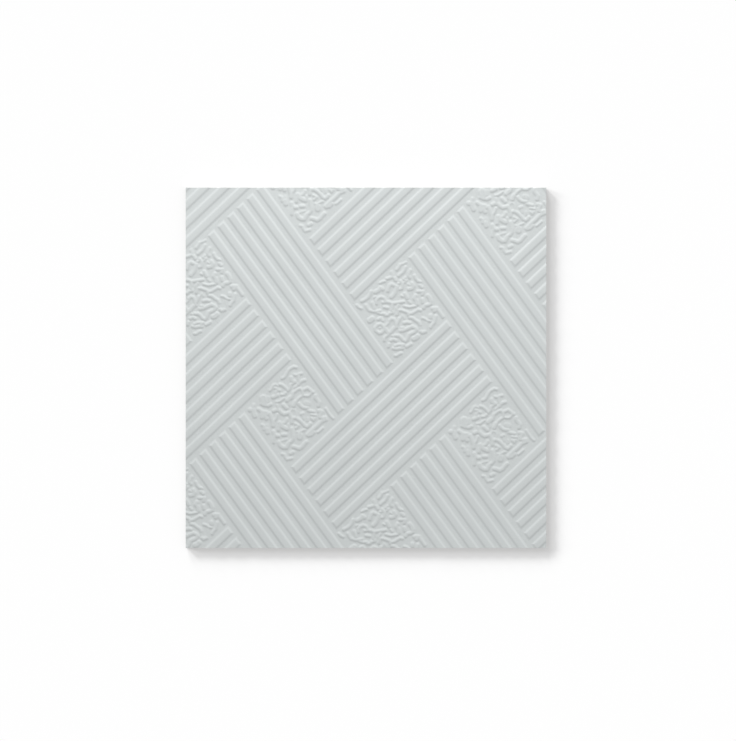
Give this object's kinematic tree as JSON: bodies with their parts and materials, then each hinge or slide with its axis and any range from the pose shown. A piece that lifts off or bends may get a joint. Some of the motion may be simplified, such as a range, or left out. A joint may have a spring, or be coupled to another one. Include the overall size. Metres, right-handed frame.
{
  "type": "gypsum ceiling tile",
  "caption": "Square gypsum ceiling tile with a flat back and an oblique basket weave of raised bars on its face, for a lay-in ceiling grid.",
  "frame": {"origin": "centre of the flat back, which is the lowest plane of the tile as it lies face up", "axes": "+Z out of the patterned face, +X to the right and +Y up in the picture, both along the sides"},
  "size_m": [0.595, 0.595, 0.0095],
  "materials": {
    "white_face": "satin"
  },
  "bodies": {
    "root": {"ceiling_tile": "white_face"}
  },
  "joints": []
}
